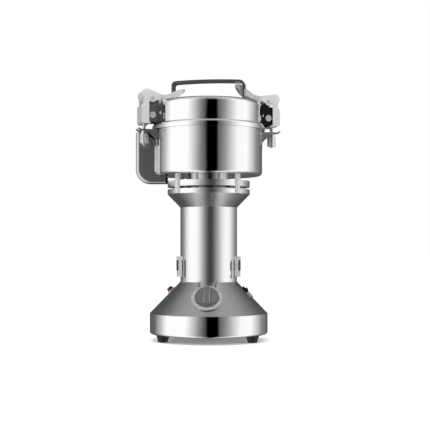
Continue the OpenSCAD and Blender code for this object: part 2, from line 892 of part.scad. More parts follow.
stack_rise = 8;
stack_z = bowl_z + stack_rise;
stack_gap = 8;
nut_h = 7;
washer_h = 2;
spacer_r = 11;
stack_top = stack_z + 3 * blade_t + 2 * stack_gap + washer_h;
function blade_at(i) = stack_z + i * (blade_t + stack_gap);
module blade_spacers() {
    color("silver") {
        for (i = [0, 1]) ring(stud_r + fit, spacer_r, blade_at(i) + blade_t, blade_at(i + 1));
        ring(stud_r + fit, spacer_r, blade_at(2) + blade_t, stack_top);
    }
}

// A two-armed blade cut from a strip whose arms are bent up, or down for a bend below zero
module blade(index, reach, bend, turn) {
    root = 13;
    tip = 8;
    hip = reach * 0.62;
    arm = reach - hip;
    run = arm * cos(bend);
    rise = arm * sin(bend);
    mitre = blade_t * tan(bend / 2);
    color("silver") rotate([0, 0, turn]) translate([0, 0, blade_at(index)]) difference() {
        intersection() {
            translate([0, 2 * root, 0]) rotate([90, 0, 0]) linear_extrude(4 * root) polygon([
                [-hip, 0], [hip, 0], [hip + run, rise],
                [hip + run - blade_t * sin(bend), rise + blade_t * cos(bend)],
                [hip - mitre, blade_t], [mitre - hip, blade_t],
                [blade_t * sin(bend) - hip - run, rise + blade_t * cos(bend)], [-hip - run, rise]
            ]);
            translate([0, 0, -reach]) linear_extrude(2 * reach) {
                circle(root);
                for (a = [0, 180]) rotate([0, 0, a]) polygon([
                    [0, -root * 0.9], [hip, -tip * 0.8], [hip + run, -tip * 0.2],
                    [hip + run - tip, tip * 0.9], [0, root * 0.9]
                ]);
            }
        }
        translate([0, 0, -cut]) cylinder(r = stud_r + fit, h = blade_t + 2 * cut);
    }
}

module lower_blade() { blade(0, blade_l, -3, 20); }
module middle_blade() { blade(1, blade_l * 0.92, 16, 80); }
module upper_blade() { blade(2, blade_l * 0.85, 36, 140); }

module blade_nut() {
    corner_r = 10;
    dome_r = 8;
    dome_h = 4;
    color("silver") difference() {
        union() {
            translate([0, 0, stack_top]) cylinder(r = corner_r, h = nut_h, $fn = 6);
            translate([0, 0, stack_top + nut_h - fit])
                cylinder(r1 = dome_r, r2 = dome_r * 5 / 8, h = dome_h);
        }
        translate([0, 0, stack_top - cut]) cylinder(r = stud_r + fit, h = nut_h + washer_h + cut + fit);
    }
}

module lid_shell() {
    color("silver") rotate_extrude($fn = 128) difference() {
        union() {
            cap_section(lid_r, lip_z, lid_top, lid_corner);
            translate([0, lip_z]) square([lip_r, lip_flat]);
            intersection() {
                translate([lid_r, lip_z + lip_flat]) circle(lip_arc);
                translate([0, lip_z]) square([lip_r, 2 * lip_arc]);
            }
        }
        cap_section(lid_r - lid_t, lip_z - cut, lid_top - lid_t, lid_corner - lid_t);
        translate([-cut, lip_z - cut]) square([pocket_r + cut, lip_cover + gasket_h + gap + cut]);
    }
}

module lid_liner() {
    sheet = 1;
    roof = lip_z + lip_cover + gasket_h + gap;
    color("silver") rotate_extrude($fn = 128) difference() {
        union() {
            translate([0, bowl_top - plug_drop]) square([plug_r, roof - bowl_top + plug_drop]);
            translate([0, roof]) square([lid_r - lid_t - fit, sheet]);
        }
        translate([-cut, bowl_top - plug_drop - cut])
            square([plug_r - sheet + cut, roof - bowl_top + plug_drop + cut]);
    }
}

module lid_gasket() {
    color("white") rotate_extrude($fn = 128)
        translate([plug_r + fit, bowl_top + gap])
        square([pocket_r - plug_r - 2 * fit, gasket_h]);
}

// Handle strip: two legs and a slightly arched grip with inward feet
foot_l = 13;
foot_thin = 0.8;
arch = 1.8;
arch_r = (handle_w * handle_w / 4 + arch * arch) / (2 * arch);
handle_turn = -6;
handle_corner = 6;
module handle_outline(inset) {
    half = handle_w / 2 - inset;
    corner = handle_corner - inset;
    high = handle_h - arch - inset;
    translate([-half, 0]) square([2 * half, high - corner]);
    translate([-half + corner, 0]) square([2 * (half - corner), high]);
    for (s = [-1, 1]) translate([s * (half - corner), high - corner]) circle(corner);
    intersection() {
        translate([0, handle_h - arch_r - inset]) circle(arch_r, $fn = 256);
        translate([-half + corner, high - corner]) square([2 * (half - corner), corner + 2 * arch]);
    }
}

module lid_handle() {
    color("silver") rotate([0, 0, handle_turn]) translate([0, strip_w / 2, lid_top])
        difference() {
            rotate([90, 0, 0]) linear_extrude(strip_w) {
                difference() {
                    handle_outline(0);
                    translate([0, -fit]) handle_outline(strip_t);
                    translate([-handle_w / 2 + strip_t, -cut])
                        square([handle_w - 2 * strip_t, handle_h / 2]);
                }
                for (s = [0, 1]) mirror([s, 0]) translate([handle_w / 2 - strip_t - foot_l, 0])
                    square([foot_l + strip_t / 2, strip_t - foot_thin]);
            }
            for (s = [-1, 1]) translate([s * (handle_w / 2 - strip_t - foot_l / 2), -strip_w / 2, -cut])
                cylinder(r = handle_screw_r, h = strip_t + 2 * cut);
        }
}

handle_screw_r = 2;
module handle_screws() {
    color("silver") rotate([0, 0, handle_turn])
        for (s = [-1, 1]) translate([s * (handle_w / 2 - strip_t - foot_l / 2), 0, lid_top + fit]) {
            cylinder(r = handle_screw_r - fit, h = strip_t);
            translate([0, 0, strip_t - foot_thin])
                cylinder(r = 1.9 * handle_screw_r, h = handle_screw_r / 2 + foot_thin);
        }
}

bracket_low = lip_z + lip_flat + lip_arc + 2 * gap;
cheek_root = 3;
cheek_top = 37;
cheek_out = 10;
flange_half_angle = 19;
bolt_at = [0, -24.9];
bolt_r = 2.5;
bolt_head_r = 4.8;
ear_r = 4.5;
module bracket_outline() {
    low = bracket_low - pivot_h;
    high = lip_z + cheek_top - pivot_h;
    inner = lid_r - cheek_root - pivot_r;
    difference() {
        union() {
            translate([inner, low]) square([cheek_out - inner, high - low]);
            circle(ear_r);
            polygon([
                [-ear_r, 0], [ear_r * 0.8, -ear_r * 0.6], [0, high + fit], [0, high - fit],
                [inner, high - fit], [inner, high * 2 / 3]
            ]);
        }
        circle(pivot_pin_r + fit);
        translate(bolt_at) circle(bolt_r + fit);
    }
}

module latch_brackets() {
    color("dimgray") for (a = latch_angles) at_latch(a) {
        curved_plate(lid_r + fit, lid_r + cheek_t, bracket_low, lid_top - lid_corner - gap,
            flange_half_angle);
        difference() {
            translate([pivot_r, 0, pivot_h]) latch_pair(cheek_half - cheek_t, cheek_half) bracket_outline();
            cylinder(r = lid_r + cheek_t / 2, h = 2 * lid_top);
        }
    }
}

rivet_r = 2.4;
module latch_pins() {
    head_h = 1.6;
    cap_h = 0.3;
    cap_w = 1.2;
    driver_w = 1.2;
    rivet_h = 1;
    rivet_inset = 3.4;
    pin_end = lever_half + lever_t + fit;
    color("silver") for (a = latch_angles) at_latch(a) {
        translate([pivot_r + bolt_at[0], 0, pivot_h + bolt_at[1]]) rotate([90, 0, 0]) {
            cylinder(r = bolt_r, h = 2 * cheek_half + 2 * fit, center = true);
            for (s = [-1, 1]) difference() {
                translate([0, 0, s * (cheek_half + fit + head_h / 2)])
                    cylinder(r = bolt_head_r, h = head_h, center = true);
                translate([0, 0, s * (cheek_half + head_h)])
                    cube([3 * bolt_head_r, driver_w, driver_w], center = true);
            }
        }
        translate([pivot_r, 0, pivot_h]) rotate([90, 0, 0]) {
            cylinder(r = pivot_pin_r, h = 2 * pin_end, center = true);
            for (s = [-1, 1]) translate([0, 0, s * (pin_end + cap_h / 2)])
                cylinder(r = pivot_pin_r + cap_w, h = cap_h, center = true);
        }
        for (s = [-1, 1]) rotate([0, 0, s * (flange_half_angle - rivet_inset)])
            translate([lid_r + cheek_t + fit, 0, (bracket_low + lid_top - lid_corner) / 2])
            rotate([0, 90, 0]) cylinder(r1 = rivet_r, r2 = rivet_r * 0.7, h = rivet_h);
    }
}

function smooth(s) = s * s * (3 - 2 * s);
function grip_top(s) = saddle_y + tip_rise * smooth(s);
function grip_depth(s) = saddle_depth + (tip_depth - saddle_depth) * s + scoop_depth * sin(180 * s * s);
grip_steps = 24;
grip_span = tip_x - saddle_x;

// The lever from its side, with its pivot at the origin and its tip to -x
module lever_outline(crank_angle) {
    disc = [crank * cos(crank_angle), crank * sin(crank_angle) + disc_lift];
    translate(disc) circle(disc_r);
    circle(boss_r);
    polygon([
        [0, -boss_r], [disc[0], disc[1] - disc_r], [disc[0], disc[1] + disc_r],
        [saddle_x, saddle_y], [saddle_x, saddle_y - saddle_depth], [-boss_r, -boss_r / 3]
    ]);
    polygon(concat(
        [for (i = [0:grip_steps]) [saddle_x + grip_span * i / grip_steps, grip_top(i / grip_steps)]],
        [for (i = [grip_steps:-1:0]) [saddle_x + grip_span * i / grip_steps,
            grip_top(i / grip_steps) - grip_depth(i / grip_steps)]]
    ));
}

// The web that joins the two flanges along the top of the grip
module web_outline() {
    polygon(concat(
        [for (i = [0:grip_steps]) [saddle_x + grip_span * i / grip_steps, grip_top(i / grip_steps)]],
        [for (i = [grip_steps:-1:0]) [saddle_x + grip_span * i / grip_steps,
            grip_top(i / grip_steps) - lever_t]]
    ));
}

// Plan of the lever: wide at the discs, drawn in to the grip, with a round tip
module lever_plan(inset) {
    disc_play = 2;
    wide = lever_half + lever_t - inset;
    slim = grip_half - inset;
    translate([neck_start, -wide]) square([crank + disc_r + disc_play - neck_start, 2 * wide]);
    polygon([[neck_start + fit, -wide], [neck_start + fit, wide], [neck_end, slim], [neck_end, -slim]]);
    translate([tip_x + grip_half, -slim]) square([neck_end - tip_x - grip_half + fit, 2 * slim]);
    translate([tip_x + grip_half, 0]) circle(slim);
}

module lever(set) {
    tall = 80;
    head_out = 0.6;
    head_w = 0.9;
    head_t = 0.5;
    pin_l = link_half + arm_t - lever_half - lever_t;
    pin_mid = (link_half + arm_t + lever_half + lever_t) / 2;
    link_pin = [crank * cos(crank_rest), crank * sin(crank_rest)];
    color("whitesmoke") translate([pivot_r, 0, pivot_h]) rotate([0, -set, 0]) {
        difference() {
            intersection() {
                latch_slab(lever_half + lever_t) lever_outline(crank_rest);
                translate([0, 0, -tall / 2]) linear_extrude(tall) difference() {
                    lever_plan(0);
                    lever_plan(lever_t);
                    translate([0, -lever_half]) square([2 * tall, 2 * lever_half]);
                }
            }
            rotate([90, 0, 0]) cylinder(r = pivot_pin_r + fit, h = tall, center = true);
        }
        intersection() {
            latch_slab(lever_half + lever_t) web_outline();
            translate([0, 0, -tall / 2]) linear_extrude(tall) lever_plan(0);
        }
        for (s = [-1, 1]) translate([link_pin[0], s * pin_mid, link_pin[1]]) rotate([90, 0, 0]) {
            cylinder(r = pin_r, h = pin_l + head_out, center = true);
            translate([0, 0, -s * (pin_l + 2 * head_out) / 2])
                cylinder(r = pin_r + head_w, h = head_t, center = true);
        }
    }
}

// Link: a bent strap with two arms, a back and a bottom flange, from its pin at the origin
link_drop = 36.8;
link_back = 7.4;
link_corner = 3;
back_top = 12;
arm_half = 4.6;
arm_in = 4;
module link_arm(drop) {
    polygon([
        [-arm_in, 0], [arm_half, 0], [arm_half, link_corner - back_top], [link_back, -back_top],
        [link_back, link_corner - drop], [link_back - link_corner, link_corner - drop],
        [link_back - link_corner, -drop], [-arm_in, -drop]
    ]);
    circle(arm_half);
    translate([link_back - link_corner, link_corner - drop]) circle(link_corner);
}

module link(drop) {
    bottom_in = -6.5;
    wide = link_half + fit;
    bend_x = link_back - link_corner;
    color("whitesmoke") {
        difference() {
            latch_pair(link_half, link_half + arm_t) link_arm(drop);
            rotate([90, 0, 0]) cylinder(r = pin_r + fit, h = 3 * link_half, center = true);
        }
        difference() {
            latch_slab(wide) {
                translate([link_back - arm_t, link_corner - drop])
                    square([arm_t, drop - back_top - link_corner]);
                translate([bottom_in, -drop]) square([bend_x - bottom_in, arm_t]);
                intersection() {
                    translate([bend_x, link_corner - drop]) difference() {
                        circle(link_corner);
                        circle(link_corner - arm_t);
                    }
                    translate([bend_x, -drop]) square([link_corner, link_corner]);
                }
            }
            translate([0, 0, -drop - cut]) cylinder(r = rod_r + fit, h = arm_t + 2 * cut);
        }
    }
}

nut_r = 6.25;
nut_l = 15.4;
collar_l = 2.9;
nut_collar_r = 4.6;
rod_tail = 1.8;
module rod(drop, seat) {
    rod_top = 6;
    head = 4;
    color("silver") {
        translate([0, 0, -seat - collar_l - nut_l - rod_tail])
            cylinder(r = rod_r, h = seat + collar_l + nut_l + rod_tail - rod_top);
        translate([0, 0, -drop + arm_t + fit]) cylinder(r = 1.8 * rod_r, h = head, $fn = 6);
    }
}

// Sleeve nut on the rod, with a collar on top and eight grip ribs
module sleeve_nut(seat) {
    rib = 0.5;
    color("silver") translate([0, 0, -seat - collar_l - nut_l]) difference() {
        union() {
            translate([0, 0, nut_l - fit]) cylinder(r = nut_collar_r, h = collar_l + fit);
            cylinder(r = nut_r, h = nut_l);
            for (a = [0:45:315]) rotate([0, 0, a]) translate([nut_r, 0, nut_l * 0.1])
                cylinder(r = rib, h = nut_l * 0.8, $fn = 16);
        }
        translate([0, 0, -cut]) cylinder(r = rod_r + fit, h = nut_l + collar_l + 2 * cut);
    }
}

// Place of the link's pin for a lever that is set further closed by an angle
function link_pin_x(set) = pivot_r + crank * cos(crank_rest + set);
function link_pin_z(set) = pivot_h + crank * sin(crank_rest + set);
function link_seat(set) = link_pin_z(set) - seat_z + lug_t + gap;

module lever_right() { at_latch(latch_angles[0]) lever(set_right); }
module lever_left() { at_latch(latch_angles[1]) lever(set_left); }
module link_right() {
    at_latch(latch_angles[0]) translate([link_pin_x(set_right), 0, link_pin_z(set_right)]) link(link_drop);
}
module link_left() {
    rise = link_pin_z(set_left) - link_pin_z(set_right);
    at_latch(latch_angles[1]) translate([link_pin_x(set_left), 0, link_pin_z(set_left)])
        link(link_drop + rise);
}
module rod_right() {
    at_latch(latch_angles[0]) translate([link_pin_x(set_right), 0, link_pin_z(set_right)])
        rod(link_drop, link_seat(set_right));
}
module rod_left() {
    rise = link_pin_z(set_left) - link_pin_z(set_right);
    at_latch(latch_angles[1]) translate([link_pin_x(set_left), 0, link_pin_z(set_left)])
        rod(link_drop + rise, link_seat(set_left));
}
module nut_right() {
    at_latch(latch_angles[0]) translate([link_pin_x(set_right), 0, link_pin_z(set_right)])
        sleeve_nut(link_seat(set_right));
}
module nut_left() {
    at_latch(latch_angles[1]) translate([link_pin_x(set_left), 0, link_pin_z(set_left)])
        sleeve_nut(link_seat(set_left));
}

base_skirt();
bottom_plate();
feet();
feet_screws();
base_cone();
cable_gland();
motor_tube();
top_flare();
motor_top_plate();
neck_plate();
standoff_posts();
bearing_hub();
bowl();
latch_lugs();
side_duct();
duct_grommet();
lid_microswitch();
lower_end_bracket();
motor_bearings();
shaft_seal();
motor_stator();
stator_windings();
brush_holders();
carbon_brushes();
brush_caps();
brush_frames();
timer_pod();
timer_dial();
timer_body();
reset_nut();
reset_breaker();
switch_housing();
safety_plunger();
motor_shaft();
rotor_core();
commutator();
cooling_fan();
blade_spacers();
lower_blade();
middle_blade();
upper_blade();
blade_nut();
timer_knob();
reset_button();
switch_rocker();
lid_shell();
lid_liner();
lid_gasket();
lid_handle();
handle_screws();
latch_brackets();
latch_pins();
lever_right();
link_right();
rod_right();
nut_right();
lever_left();
link_left();
rod_left();
nut_left();
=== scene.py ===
"""Electric grain mill on a white studio table.

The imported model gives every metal, rubber and plastic piece its shape. This script gives the pieces
their finishes, prints the timer's dial, edges the knob's grip, winds the threads of the latch
rods and sets up the studio.
"""

import math

import bpy
import numpy as np
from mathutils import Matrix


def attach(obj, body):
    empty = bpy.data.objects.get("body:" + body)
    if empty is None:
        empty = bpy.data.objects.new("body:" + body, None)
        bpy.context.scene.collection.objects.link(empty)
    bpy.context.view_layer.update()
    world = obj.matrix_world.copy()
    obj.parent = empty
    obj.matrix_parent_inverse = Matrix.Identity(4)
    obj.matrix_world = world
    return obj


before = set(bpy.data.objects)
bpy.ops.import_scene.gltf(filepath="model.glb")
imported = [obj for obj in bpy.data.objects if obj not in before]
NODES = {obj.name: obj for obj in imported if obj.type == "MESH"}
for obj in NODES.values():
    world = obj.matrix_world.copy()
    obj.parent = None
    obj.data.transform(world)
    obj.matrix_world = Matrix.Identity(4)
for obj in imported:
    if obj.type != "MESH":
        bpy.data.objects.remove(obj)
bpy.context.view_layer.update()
MM = 0.001

# Sizes shared with the part's source, in millimetres: base and cone
BASE_R, TUBE_R, CONE_Z, CONE_H = 90.0, 43.3, 41.8, 47.9
SLOPE_DX = BASE_R - TUBE_R
TILT = math.atan2(CONE_H, SLOPE_DX)
DIAL_SHARE, SWITCH_SHARE = 0.518, 0.662

# Timer dial and knob
DIAL_TOP, DIAL_R, KNOB_R = 2.0, 23.7, 17.75
KNOB_TOP, BAR_H, BAR_HALF, WAIST, BOW_R = 7.5, 1.8, 5.3, 0.6, 220.0
DIAL_SWEEP = 300.0

# Latches: the rod hangs from the lever's crank through the lug, and the sleeve nut sits under the lug
LIP_Z, PIVOT_RISE, SEAT_DROP = 319.4, 44.8, 0.8
PIVOT_R, CRANK, LATCH_TURN = 90.0, 10.0, 16.0
CRANK_REST, SET_LEFT = -3.0, 13.0
LINK_DROP, LUG_T, GAP, COLLAR_L, NUT_L, ROD_R = 36.8, 2.2, 0.3, 2.9, 15.4, 2.5

# Where the painted highlight bands start: the duct's flange beyond its body, and the flare's rim above
# its slope
FLANGE_X, FLANGE_Z, RIM_Z = -81.8, 255.9, 222.3


# ---------------------------------------------------------------- node tools

def new_material(name):
    """A node material with its tree and its Principled shader."""
    material = bpy.data.materials.new(name)
    material.use_nodes = True
    tree = material.node_tree
    return material, tree, tree.nodes["Principled BSDF"]


def object_vector(tree, scale=(1.0, 1.0, 1.0)):
    """Object coordinates stretched by a scale along each axis."""
    coords = tree.nodes.new("ShaderNodeTexCoord")
    mapping = tree.nodes.new("ShaderNodeMapping")
    mapping.inputs["Scale"].default_value = scale
    tree.links.new(coords.outputs["Object"], mapping.inputs["Vector"])
    return mapping.outputs["Vector"]


def object_axis(tree, axis):
    """One of the three object coordinates, in metres."""
    split = tree.nodes.new("ShaderNodeSeparateXYZ")
    tree.links.new(object_vector(tree), split.inputs["Vector"])
    return split.outputs[axis]


def noise(tree, vector, scale, detail=3.0):
    """Fractal noise between 0 and 1."""
    node = tree.nodes.new("ShaderNodeTexNoise")
    node.inputs["Scale"].default_value = scale
    node.inputs["Detail"].default_value = detail
    tree.links.new(vector, node.inputs["Vector"])
    return node.outputs["Fac"]


def remap(tree, value, target, source=(0.0, 1.0)):
    """Maps a value from the source range onto the target range."""
    node = tree.nodes.new("ShaderNodeMapRange")
    node.inputs["From Min"].default_value, node.inputs["From Max"].default_value = source
    node.inputs["To Min"].default_value, node.inputs["To Max"].default_value = target
    tree.links.new(value, node.inputs["Value"])
    return node.outputs["Result"]


def combine(tree, operation, first, second):
    """One maths operation on two values, the second of which may be a plain number."""
    node = tree.nodes.new("ShaderNodeMath")
    node.operation = operation
    tree.links.new(first, node.inputs[0])
    if isinstance(second, float):
        node.inputs[1].default_value = second
    else:
        tree.links.new(second, node.inputs[1])
    return node.outputs[0]


def shades(tree, value, dark, light):
    """A colour that runs from dark to light with the value."""
    ramp = tree.nodes.new("ShaderNodeValToRGB")
    first, last = ramp.color_ramp.elements
    first.position, last.position = 0.3, 0.7
    first.color, last.color = (*dark, 1), (*light, 1)
    tree.links.new(value, ramp.inputs["Fac"])
    return ramp.outputs["Color"]


def bump(tree, shader, height, strength, distance=0.0001, edge=0.0):
    """Raises the surface by a height value, and rounds its edges in the shading by an edge radius."""
    node = tree.nodes.new("ShaderNodeBump")
    node.inputs["Strength"].default_value = strength
    node.inputs["Distance"].default_value = distance
    tree.links.new(height, node.inputs["Height"])
    if edge:
        rounded = tree.nodes.new("ShaderNodeBevel")
        rounded.inputs["Radius"].default_value = edge
        rounded.samples = 6
        tree.links.new(rounded.outputs["Normal"], node.inputs["Normal"])
    tree.links.new(node.outputs["Normal"], shader.inputs["Normal"])


def grey(value):
    """A neutral tone with a trace of blue, the cast of the photograph's steel."""
    return (value, value, value * 1.01)


def colour(tone):
    """A tone given as one grey level or as a whole colour."""
    return tone if isinstance(tone, tuple) else grey(tone)


# ---------------------------------------------------------------- finishes

def steel(name, dark, light, rough, grain=(1.0, 1.0, 60.0), relief=0.0, metallic=1.0, edge=0.0):
    """Turned sheet steel: fine lines vary its tone and its surface, and slow smears vary its gloss.
    The grain's scales make the lines run round the axis where the last one is the large one."""
    material, tree, shader = new_material(name)
    lines = noise(tree, object_vector(tree, grain), 30.0, 4.0)
    smear = noise(tree, object_vector(tree), 14.0, 2.0)
    tree.links.new(shades(tree, lines, colour(dark), colour(light)), shader.inputs["Base Color"])
    tree.links.new(remap(tree, smear, rough), shader.inputs["Roughness"])
    shader.inputs["Metallic"].default_value = metallic
    if relief or edge:
        bump(tree, shader, lines, relief, 0.0002, edge)
    return material


def moulded(name, dark, light, rough, grain_scale=900.0):
    """Moulded plastic or rubber with a fine even grain."""
    material, tree, shader = new_material(name)
    grain = noise(tree, object_vector(tree), grain_scale)
    cloud = noise(tree, object_vector(tree), 25.0, 2.0)
    tree.links.new(shades(tree, cloud, colour(dark), colour(light)), shader.inputs["Base Color"])
    tree.links.new(remap(tree, grain, rough), shader.inputs["Roughness"])
    bump(tree, shader, grain, 0.15)
    return material


EVEN, FINE = (8.0, 8.0, 8.0), (20.0, 20.0, 20.0)
mirror_steel = steel("mirror_steel", 0.86, 0.9, (0.05, 0.08))
column_steel = steel("column_steel", 0.9, 0.95, (0.28, 0.32), relief=0.01)
cone_steel = steel("cone_steel", 0.52, 0.57, (0.2, 0.25), grain=(1.0, 1.0, 90.0), relief=0.01)
flare_steel = steel("flare_steel", 0.52, 0.58, (0.2, 0.21))
duct_steel = steel("duct_steel", 0.6, 0.66, (0.22, 0.26), grain=(3.0, 3.0, 1.0))
handle_steel = steel("handle_steel", 0.24, 0.28, (0.08, 0.12), edge=0.0006)
bright_steel = steel("bright_steel", 0.93, 0.98, (0.3, 0.36), grain=EVEN, metallic=0.25)
post_steel = steel("post_steel", 0.9, 0.96, (0.25, 0.3), grain=EVEN, metallic=0.15)
lug_steel = steel("lug_steel", 0.4, 0.48, (0.16, 0.22), grain=EVEN, edge=0.0006)
screw_steel = steel("screw_steel", 0.8, 0.88, (0.18, 0.26), grain=FINE, metallic=0.5, edge=0.0004)
nut_steel = steel("nut_steel", 0.8, 0.88, (0.12, 0.18), grain=FINE, metallic=0.8, edge=0.0003)
blade_steel = steel("blade_steel", 0.6, 0.7, (0.2, 0.3), grain=(60.0, 1.0, 1.0), relief=0.02)
lamination = steel("lamination_steel", 0.12, 0.16, (0.45, 0.6), grain=(1.0, 1.0, 400.0), relief=0.02)
copper = steel("wound_copper", (0.2, 0.09, 0.045), (0.3, 0.14, 0.07), (0.35, 0.45),
               grain=(1.0, 1.0, 300.0), relief=0.02)
cast = steel("cast_aluminium", 0.5, 0.58, (0.45, 0.6), grain=(6.0, 6.0, 6.0), relief=0.1)
foot_rubber = moulded("foot_rubber", 0.006, 0.012, (0.5, 0.65), 500.0)
black_plastic = moulded("black_plastic", 0.015, 0.022, (0.3, 0.4))
cap_plastic = moulded("brush_cap_plastic", 0.1, 0.13, (0.4, 0.5))
white_plastic = moulded("white_plastic", 0.75, 0.8, (0.3, 0.4))
gasket_silicone = moulded("gasket_silicone", (0.75, 0.74, 0.7), (0.8, 0.79, 0.75), (0.45, 0.55))
knob_plastic = moulded("knob_plastic", 0.14, 0.155, (0.42, 0.5), 1200.0)
knob_edge = moulded("knob_edge_plastic", 0.36, 0.4, (0.35, 0.45))
red_plastic = moulded("red_button_plastic", (0.33, 0.008, 0.008), (0.4, 0.012, 0.01), (0.18, 0.25))
print_ink = moulded("dial_ink", 0.18, 0.2, (0.5, 0.6))


def rim_light(material, start):
    """Makes the sheet less metallic where it turns away from the eye, so that its edge stays pale."""
    tree = material.node_tree
    facing = tree.nodes.new("ShaderNodeLayerWeight")
    facing.inputs["Blend"].default_value = 0.5
    edge = remap(tree, facing.outputs["Facing"], (1.0, 0.1), (start, 1.0))
    tree.links.new(edge, tree.nodes["Principled BSDF"].inputs["Metallic"])


def past_place(tree, axis, start, seam=0.2):
    """One past a place along an axis of the object, in millimetres, and zero before it."""
    return remap(tree, object_axis(tree, axis), (0.0, 1.0), ((start - seam) * MM, (start + seam) * MM))


def painted_highlight_band(material, places, tone, metallic, rough):
    """Paints a pale highlight band on a sheet where it lies past every one of some places, each an axis
    of the object and a distance along it. The photograph shows a paler flange on the duct and a paler
    band round the flare's rim, and these bands are painted highlights."""
    tree = material.node_tree
    shader = tree.nodes["Principled BSDF"]
    share = past_place(tree, *places[0])
    for place in places[1:]:
        share = combine(tree, "MULTIPLY", share, past_place(tree, *place))
    tree.links.new(remap(tree, share, (1.0, metallic)), shader.inputs["Metallic"])
    for name, kind, value in (("Base Color", "RGBA", (*grey(tone), 1)), ("Roughness", "FLOAT", rough)):
        mix = tree.nodes.new("ShaderNodeMix")
        mix.data_type = kind
        factor, first, second = [socket for socket in mix.inputs if socket.enabled]
        result = [socket for socket in mix.outputs if socket.enabled][0]
        tree.links.new(share, factor)
        tree.links.new(shader.inputs[name].links[0].from_socket, first)
        second.default_value = value
        tree.links.new(result, shader.inputs[name])


rim_light(cone_steel, 0.86)
# Painted highlights: a pale, less metallic band on the duct's flange and a pale band round the flare's
# rim.
painted_highlight_band(duct_steel, (("X", FLANGE_X), ("Z", FLANGE_Z)), 0.95, 0.2, 0.3)
painted_highlight_band(flare_steel, (("Z", RIM_Z),), 0.95, 1.0, 0.3)


def dial_plate():
    """Grained plate under the timer knob: small bright flecks on a mid grey."""
    material, tree, shader = new_material("dial_plate")
    flecks = noise(tree, object_vector(tree), 900.0, 2.0)
    tree.links.new(shades(tree, flecks, grey(0.4), grey(0.78)), shader.inputs["Base Color"])
    tree.links.new(remap(tree, flecks, (0.4, 0.6)), shader.inputs["Roughness"])
    bump(tree, shader, flecks, 0.2)
    return material


def bracket_steel_painted_reflection():
    """Steel of the latch brackets. The photograph shows the left one mid grey and the right one black,
    two reflections of one steel, so a painted reflection runs the tone from grey to black along X."""
    material, tree, shader = new_material("bracket_steel_painted_reflection")
    side = remap(tree, object_axis(tree, "X"), (0.0, 1.0), (-20 * MM, 20 * MM))
    # Painted reflection: the left bracket is toned mid grey and the right one black.
    tree.links.new(shades(tree, side, grey(0.2), grey(0.02)), shader.inputs["Base Color"])
    shader.inputs["Metallic"].default_value = 0.7
    grain = noise(tree, object_vector(tree), 400.0)
    tree.links.new(remap(tree, grain, (0.3, 0.4)), shader.inputs["Roughness"])
    bump(tree, shader, grain, 0.05, edge=0.0005)
    return material


def rocker_plastic(half=10.5):
    """Two-tone switch: along the cone's slope its upper part is black with a red line below it, its
    lower part is white, and the housing past it is black. Half is half the housing's length."""
    material, tree, shader = new_material("rocker_plastic")
    along = tree.nodes.new("ShaderNodeVectorMath")
    along.operation = "DOT_PRODUCT"
    along.inputs[1].default_value = (math.cos(TILT), 0.0, -math.sin(TILT))
    tree.links.new(object_vector(tree), along.inputs[0])
    middle = ((BASE_R - SLOPE_DX * SWITCH_SHARE) * math.cos(TILT)
              - (CONE_Z + CONE_H * SWITCH_SHARE) * math.sin(TILT))
    down = remap(tree, along.outputs["Value"], (0.0, 1.0), ((middle - half) * MM, (middle + half) * MM))
    ramp = tree.nodes.new("ShaderNodeValToRGB")
    ramp.color_ramp.interpolation = "CONSTANT"
    tree.links.new(down, ramp.inputs["Fac"])
    black, red, white = (0.012, 0.012, 0.012, 1), (0.5, 0.02, 0.02, 1), (0.8, 0.8, 0.8, 1)
    ramp.color_ramp.elements[0].color = black
    ramp.color_ramp.elements[1].position = 0.44
    ramp.color_ramp.elements[1].color = red
    for position, tone in ((0.5, white), (0.93, black)):
        ramp.color_ramp.elements.new(position).color = tone
    tree.links.new(ramp.outputs["Color"], shader.inputs["Base Color"])
    grain = noise(tree, object_vector(tree), 900.0)
    tree.links.new(remap(tree, grain, (0.25, 0.35)), shader.inputs["Roughness"])
    return material


FINISH = {
    mirror_steel: "base_skirt bowl lid_shell",
    handle_steel: "lid_handle",
    column_steel: "motor_tube neck_plate lid_liner",
    flare_steel: "top_flare",
    cone_steel: "base_cone timer_pod bearing_hub bottom_plate",
    duct_steel: "side_duct",
    bright_steel: "lever_right lever_left link_right link_left brush_frames",
    post_steel: "standoff_posts",
    lug_steel: "latch_lugs",
    bracket_steel_painted_reflection(): "latch_brackets",
    screw_steel: "feet_screws handle_screws latch_pins reset_nut motor_shaft motor_bearings",
    nut_steel: "rod_right rod_left nut_right nut_left",
    blade_steel: "lower_blade middle_blade upper_blade blade_spacers blade_nut",
    lamination: "motor_stator rotor_core carbon_brushes",
    copper: "stator_windings commutator brush_holders",
    cast: "motor_top_plate lower_end_bracket",
    foot_rubber: "feet shaft_seal duct_grommet",
    black_plastic: "cable_gland lid_microswitch reset_breaker",
    cap_plastic: "brush_caps",
    white_plastic: "safety_plunger cooling_fan timer_body",
    gasket_silicone: "lid_gasket",
    knob_plastic: "timer_knob",
    red_plastic: "reset_button",
    dial_plate(): "timer_dial",
    rocker_plastic(): "switch_rocker switch_housing",
}


def dress(obj, material, sharp=28.0):
    """One finish on a CAD node. Its loose triangles are joined for display, split again along edges
    sharper than the given angle, and each corner's normal leans towards its larger faces, so that
    turned walls and bent corners mirror the room without facets."""
    obj.data.materials.clear()
    obj.data.materials.append(material)
    obj.data.shade_smooth()
    weld = obj.modifiers.new("joined", "WELD")
    weld.merge_threshold = 1e-6
    split = obj.modifiers.new("sharp_edges", "EDGE_SPLIT")
    split.split_angle = math.radians(sharp)
    weighted = obj.modifiers.new("wall_normals", "WEIGHTED_NORMAL")
    weighted.mode = "FACE_AREA"
    weighted.weight = 100


for finish, names in FINISH.items():
    for node_name in names.split():
        dress(NODES[node_name], finish)


# ---------------------------------------------------------------- new pieces

